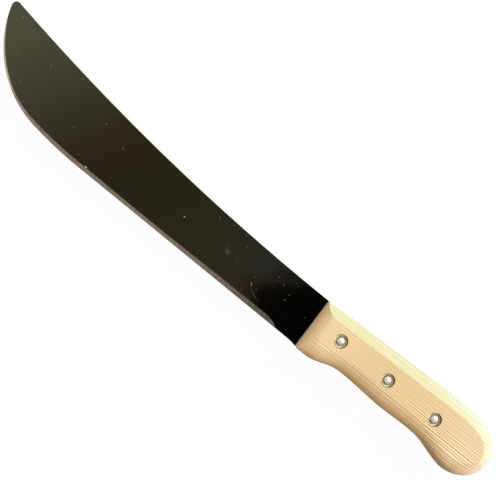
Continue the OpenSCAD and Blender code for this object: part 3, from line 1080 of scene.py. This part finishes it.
@dataclass
class Scale:
    """A wooden grip scale, shaped from its node, with its corners eased.

    Sizes are in millimetres and angles in degrees. Heights are measured from the middle of the sheet.
    """

    side: Side
    axes: tuple[Vector, ...]
    ease: float = 0.35
    rim: float = 0.14
    bore: float = 4.55
    bore_zone: float = 5.4
    flat_height: float = 11.5
    close: float = 0.05
    # how far the counterbores' wood is painted darker, as painted shade
    bore_shade: float = 0.65
    flat_angle: float = 0.25
    crease_angle: float = 24.0
    smooth_angle: float = 28.0

    def build(self) -> Piece:
        """Shapes the scale: merged, its creases eased, its counterbores' rims broken.

        Returns:
            The scale.
        """
        piece = copied_node(f"{self.side.label}_scale", f"{self.side.label}_grip_scale")
        wood = self.wood()
        # the counterbores' wood, painted darker as painted shade
        bored = replace(wood, title=f"{self.side.label} bored wood", bore_shade=self.bore_shade)
        piece.data.materials.append(wood.material())
        piece.data.materials.append(bored.material())
        with editing(piece):
            bpy.ops.mesh.dissolve_limited(angle_limit=math.radians(self.flat_angle))
            round_edges(piece, self.is_crease, self.ease)
            round_edges(piece, self.is_bore_rim, self.rim, steps=2)
        self.assign_bored(piece)
        smooth(piece, self.smooth_angle)
        even_normals(piece)
        self.write_facing(piece)
        return piece

    def write_facing(self, piece: Piece) -> None:
        """Writes which way the wood faces at each corner, so that its colour can follow the cut.

        Args:
            piece: The finished scale.
        """
        values = piece.data.attributes.new("facing", "FLOAT_VECTOR", "CORNER").data
        for value, normal in zip(values, piece.data.corner_normals):
            value.vector = normal.vector

    def wood(self) -> AshWood:
        """The plank that this scale was cut from.

        Returns:
            Its finish.
        """
        if self.side is Side.LEFT:
            return AshWood("left scale wood", heart_y=110.0, heart_z=-26.0, heart_turn=-1.5, shift=0.0)
        return AshWood("right scale wood", heart_y=-78.0, heart_z=44.0, heart_turn=1.5, shift=0.37)

    def height(self, point: Vector) -> float:
        """How far a point lies from the middle of the sheet, in metres."""
        return abs(point.z - self.axes[0].z)

    def is_crease(self, edge: bmesh.types.BMEdge) -> bool:
        """Whether an edge is a crease of the outer shape, away from the counterbores."""
        away = from_axis((edge.verts[0].co + edge.verts[1].co) / 2, self.axes)
        return away >= self.bore_zone * MM and edge.calc_face_angle(0.0) > math.radians(self.crease_angle)

    def is_bore_rim(self, edge: bmesh.types.BMEdge) -> bool:
        """Whether an edge is the upper rim of a counterbore.

        Args:
            edge: An edge of the scale.

        Returns:
            True on the rim.
        """
        level = all(self.height(vertex.co) > (self.flat_height - self.close) * MM for vertex in edge.verts)
        off = (abs(from_axis(vertex.co, self.axes) - self.bore * MM) for vertex in edge.verts)
        return level and max(off) < self.close * MM

    def assign_bored(self, piece: Piece) -> None:
        """Gives the darker wood, painted shade in the recesses, to the walls and floors of the counterbores.

        Args:
            piece: The scale.
        """
        for face in piece.data.polygons:
            within = from_axis(face.center, self.axes) < (self.bore + self.close) * MM
            if within and self.height(face.center) < (self.flat_height - self.close) * MM:
                face.material_index = SECOND_FINISH


@dataclass
class Rivets:
    """The three rivets with their washers. Sizes are in millimetres, from the middle of the sheet up."""

    names: tuple[str, ...] = ("front", "middle", "rear")
    head_d: float = 6.2
    head_h: float = 2.1
    head_seat: float = 9.1
    shank_d: float = 4.5
    rolled: float = 0.14
    rolled_in: float = 0.94
    washer_d: float = 8.8
    washer_hole: float = 4.7
    washer_seat: float = 8.5
    washer_t: float = 0.6
    washer_rim: float = 0.12
    washer_corner: float = 60.0
    facets: int = 64
    ball_rings: int = 40
    smooth_angle: float = 35.0
    # the way to each rivet's painted shade, away from the lamp
    rivet_shade_way: tuple[float, float] = (0.30, 0.95)
    # the way to each washer's painted shade, towards the lamp
    washer_shade_way: tuple[float, float] = (-0.65, -0.76)

    def axes(self) -> tuple[Vector, ...]:
        """Where each rivet's axis meets the middle of the sheet."""
        boxes = [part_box(f"rivet_{name}") for name in self.names]
        return tuple((Vector(low) + Vector(high)) / 2 for low, high in boxes)

    def build(self) -> None:
        """Models one rivet and one washer, and mounts a copy of them in each place."""
        rivet, washer = self.rivet(), self.washer()
        metal, dull = RivetMetal().material(), WasherMetal().material()
        for name, axis in zip(self.names, self.axes()):
            piece = self.placed(rivet, f"grip_rivet_{name}", axis, metal, self.rivet_shade_way)
            mount(piece, f"rivet_{name}")
            for side in Side:
                title = f"grip_washer_{name}_{side.label}"
                piece = self.placed(washer, title, axis, dull, self.washer_shade_way, side)
                mount(piece, f"washer_{name}_{side.label}")
        for pattern in (rivet, washer):
            bpy.data.objects.remove(pattern)

    def rivet(self) -> Piece:
        """Models a rivet about the origin: half of it from a ball, then its mirror image.

        Returns:
            The rivet.
        """
        radius = ((self.head_d / 2) ** 2 + self.head_h**2) / (2 * self.head_h)
        place = (0, 0, (self.head_seat + self.head_h - radius) * MM)
        cut = (0, 0, (self.head_seat + self.rolled) * MM)
        bpy.ops.object.select_all(action="DESELECT")
        bpy.ops.mesh.primitive_uv_sphere_add(
            segments=self.facets, ring_count=self.ball_rings, radius=radius * MM, location=place
        )
        piece = settled()
        with editing(piece):
            bpy.ops.mesh.bisect(plane_co=cut, plane_no=(0, 0, 1), clear_inner=True)
            self.extrude_rim(piece, self.rolled_in, self.head_seat)
            self.extrude_rim(piece, self.shank_d / self.head_d / self.rolled_in, self.head_seat)
            self.extrude_rim(piece, 1.0, 0.0)
        modify(piece, "MIRROR", "Other head", use_axis=(False, False, True), merge_threshold=MERGE)
        with editing(piece):
            bpy.ops.mesh.remove_doubles(threshold=MERGE)
            bpy.ops.mesh.normals_make_consistent(inside=False)
        return piece

    def extrude_rim(self, piece: Piece, scale: float, height: float) -> None:
        """Draws the open rim of a half rivet inwards or down.

        Args:
            piece: The half rivet in edit mode.
            scale: The rim's new width as a share of its old one.
            height: The rim's new height.
        """
        pick_edges(piece, lambda edge: edge.is_boundary)
        bpy.ops.mesh.extrude_edges_move()
        bpy.ops.transform.resize(value=(scale, scale, 0.0), center_override=(0, 0, height * MM))

    def washer(self) -> Piece:
        """Models a washer about the origin, on the left side's seat.

        Returns:
            The washer.
        """
        radius = self.washer_d / 2 * MM
        corner = math.radians(self.washer_corner)
        bpy.ops.object.select_all(action="DESELECT")
        bpy.ops.mesh.primitive_circle_add(
            vertices=self.facets, radius=radius, fill_type="NGON", location=(0, 0, self.washer_seat * MM)
        )
        piece = settled()
        with editing(piece):
            bpy.ops.mesh.select_mode(type="FACE")
            bpy.ops.mesh.inset(thickness=radius - self.washer_hole / 2 * MM)
            bpy.ops.mesh.delete(type="FACE")
            bpy.ops.mesh.select_all(action="SELECT")
            bpy.ops.mesh.extrude_region_move(TRANSFORM_OT_translate={"value": (0, 0, self.washer_t * MM)})
            bpy.ops.mesh.select_all(action="SELECT")
            bpy.ops.mesh.normals_make_consistent(inside=False)
            round_edges(piece, lambda edge: edge.calc_face_angle(0.0) > corner, self.washer_rim)
        return piece

    def placed(
        self,
        pattern: Piece,
        title: str,
        axis: Vector,
        metal: bpy.types.Material,
        shade_way: tuple[float, float],
        side: Side = Side.LEFT,
    ) -> Piece:
        """Copies a piece with its own mesh to a rivet's axis.

        Args:
            pattern: The piece, modelled about the origin.
            title: Name of the copy.
            axis: Where the rivet's axis meets the middle of the sheet.
            metal: Its finish.
            shade_way: The way on the sheet to its side with painted shade.
            side: The side of the sheet that it goes to.

        Returns:
            The copy.
        """
        piece = copied(pattern, title)
        piece.data.materials.append(metal)
        self.measure_out(piece, Vector(shade_way).normalized())
        with editing(piece):
            if side is Side.RIGHT:
                bpy.ops.transform.resize(value=(1.0, 1.0, -1.0), center_override=(0, 0, 0))
                bpy.ops.mesh.normals_make_consistent(inside=False)
            bpy.ops.transform.translate(value=axis)
        smooth(piece, self.smooth_angle)
        return piece

    def measure_out(self, piece: Piece, shade_way: Vector) -> None:
        """Writes how far each point lies from the axis, all round and towards its side with painted shade.

        Args:
            piece: A rivet or a washer about the origin. At its widest, both measures are 1.
            shade_way: The way to its side with painted shade.
        """
        reach = max(vertex.co.xy.length for vertex in piece.data.vertices)
        for title in ("out", "low"):
            values = piece.data.attributes.new(title, "FLOAT", "POINT").data
            for value, vertex in zip(values, piece.data.vertices):
                away = vertex.co.xy.length if title == "out" else vertex.co.xy.dot(shade_way)
                value.value = away / reach


# Studio


@dataclass(frozen=True)
class Board:
    """A board on the ceiling, by the slopes at which its near edges start and end, and its colour."""

    down: Span
    right: Span
    colour: Colour


@dataclass
class Studio:
    """A pale floor, a soft lamp on the spine side and an even room. Lengths are in metres.

    What shows off gloss is the room's white walls, its dim ceiling and the boards on that. A place on
    the ceiling is the slope at which a ray goes there.
    """

    floor_width: float = 8.0
    floor_gap: float = 0.00005
    floor_colour: Colour = (0.86, 0.86, 0.86)
    floor_white: float = 1.0
    paper: float = 0.97
    lamp_way: Triple = (-0.485, -0.728, 0.485)
    lamp_reach: float = 2.2
    lamp_width: float = 0.66
    lamp_power: float = 82.5
    lamp_colour: Colour = (1.0, 0.985, 0.955)
    room_light: float = 0.26
    front_light: Span = (0.4, 0.9, 0.0, 0.45)
    room_colour: Colour = (1.05, 0.99, 0.93)
    wall_colour: Colour = (1.0, 1.0, 1.0)
    wall_top: Span = (0.86, 0.62)
    least_rise: float = 0.02
    ceiling_skew: float = -0.6
    ceiling_scale: float = 2.0
    ceiling_start: float = 0.2
    ceiling: tuple[tuple[float, Colour], ...] = (
        (0.163, (0.435, 0.398, 0.235)),
        (0.283, (0.400, 0.345, 0.182)),
        (0.343, (0.379, 0.315, 0.158)),
        (0.400, (0.335, 0.285, 0.138)),
        (0.460, (0.398, 0.300, 0.130)),
        (0.520, (0.473, 0.379, 0.178)),
        (0.582, (0.674, 0.580, 0.300)),
        (0.644, (0.886, 0.775, 0.439)),
        (0.711, (1.100, 0.974, 0.606)),
        (0.790, (1.340, 1.270, 0.726)),
    )
    boards_end: Span = (0.40, 0.30)
    boards: tuple[Board, ...] = (
        Board((0.003, 0.012), (0.001, 0.012), (0.370, 0.370, 0.305)),
        Board((0.024, 0.036), (-0.016, -0.002), (0.38, 0.25, 0.155)),
        Board((0.016, 0.032), (0.014, 0.030), (0.195, 0.200, 0.140)),
        Board((0.037, 0.042), (-0.0045, 0.009), (0.004, 0.006, 0.004)),
    )
    image_right: Triple = (-0.79864, -0.60182, 0.0)
    image_down: Triple = (-0.60182, 0.79864, 0.0)

    def build(self) -> None:
        """Sets the studio up."""
        self.floor()
        self.lamp()
        self.room()
        bpy.context.scene.view_settings.view_transform = "Standard"

    def floor(self) -> None:
        """Lays the floor, which keeps a faint shadow on its white."""
        bpy.ops.object.select_all(action="DESELECT")
        bpy.ops.mesh.primitive_plane_add(size=self.floor_width, location=(0, 0, -self.floor_gap))
        floor = rename(settled(), "studio_floor")
        r = Recipe(bpy.data.materials.new("pale floor"))
        matt = r.add("ShaderNodeBsdfDiffuse", {"Color": self.floor_colour})
        white = r.add("ShaderNodeEmission", {"Strength": self.floor_white})
        shown = r.times(r.seen(), self.paper)
        both = r.add("ShaderNodeMixShader", {0: shown, 1: matt.outputs[0], 2: white.outputs[0]})
        r.add("ShaderNodeOutputMaterial", {"Surface": both.outputs[0]})
        floor.data.materials.append(r.owner)

    def lamp(self) -> None:
        """Hangs the soft lamp."""
        way = Vector(self.lamp_way).normalized()
        bpy.ops.object.light_add(type="AREA", location=way * self.lamp_reach)
        lamp = bpy.context.active_object
        lamp.name = "soft_lamp"
        lamp.rotation_euler = way.to_track_quat("Z", "Y").to_euler()
        lamp.data.shape = "DISK"
        lamp.data.size = self.lamp_width
        lamp.data.energy = self.lamp_power
        lamp.data.color = self.lamp_colour

    def room(self) -> None:
        """Fills the room with even light, a little stronger from the tip's side."""
        world = bpy.data.worlds.new("room")
        bpy.context.scene.world = world
        r = Recipe(world)
        way = r.add("ShaderNodeTexCoord").outputs["Generated"]
        parts = r.parts(way)
        rise = r.most(parts["Z"], self.least_rise)
        along = r.math("DIVIDE", r.blended(parts["Y"], self.ceiling_skew, parts["X"]), rise)
        right = r.math("DIVIDE", self.dot(r, way, self.image_right), rise)
        down = r.math("DIVIDE", self.dot(r, way, self.image_down), rise)
        ceiling = r.ramp(r.blended(along, self.ceiling_scale, self.ceiling_start), self.ceiling)
        ends = r.times(r.between(down, self.boards_end), r.between(right, self.boards_end))
        for board in self.boards:
            cover = r.times(r.between(down, board.down), r.between(right, board.right), ends)
            ceiling = r.mix(cover, ceiling, board.colour)
        walls = r.mix(r.between(parts["Z"], self.wall_top), ceiling, self.wall_colour)
        shown = r.add("ShaderNodeBackground", {"Color": walls, "Strength": 1.0})
        level = r.plus(self.room_light, r.between(parts["X"], self.front_light))
        even = r.add("ShaderNodeBackground", {"Color": self.room_colour, "Strength": level})
        both = r.add("ShaderNodeMixShader", {0: r.seen(), 1: even.outputs[0], 2: shown.outputs[0]})
        r.add("ShaderNodeOutputWorld", {"Surface": both.outputs[0]})

    def dot(self, r: Recipe, way: Socket, axis: Triple) -> Socket:
        """How far a direction goes along an axis."""
        return r.add("ShaderNodeVectorMath", {0: way, 1: axis}, operation="DOT_PRODUCT").outputs["Value"]


@dataclass
class PhotoCamera:
    """The camera, straight above the left face. Lengths are in millimetres, the turn in degrees."""

    aim_x: float = -3.94
    aim_y: float = -4.57
    face_z: float = 12.5
    distance: float = 700.0
    pixel: float = 0.635
    turn: float = 217.0
    sensor: float = 36.0

    def build(self) -> None:
        """Sets the camera up, so that a pixel is as wide on the blade's face as in the photograph."""
        place = (self.aim_x * MM, self.aim_y * MM, (self.face_z + self.distance) * MM)
        bpy.ops.object.camera_add(location=place)
        camera = bpy.context.active_object
        camera.name = "photo_camera"
        camera.rotation_euler = (0.0, 0.0, math.radians(self.turn))
        camera.data.sensor_width = self.sensor
        camera.data.lens = self.sensor * self.distance / (PHOTO_WIDTH * self.pixel)
        bpy.context.scene.camera = camera


def main() -> None:
    """Builds the studio and every piece of the machete."""
    logging.basicConfig(level=logging.INFO, format="%(name)s: %(message)s")
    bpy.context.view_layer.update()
    PhotoCamera().build()
    Studio().build()
    rivets = Rivets()
    mount(Blade(rivets.axes()).build(), "blade")
    for side in Side:
        mount(Scale(side, rivets.axes()).build(), f"{side.label}_scale")
    rivets.build()


if __name__ == "__main__":
    main()
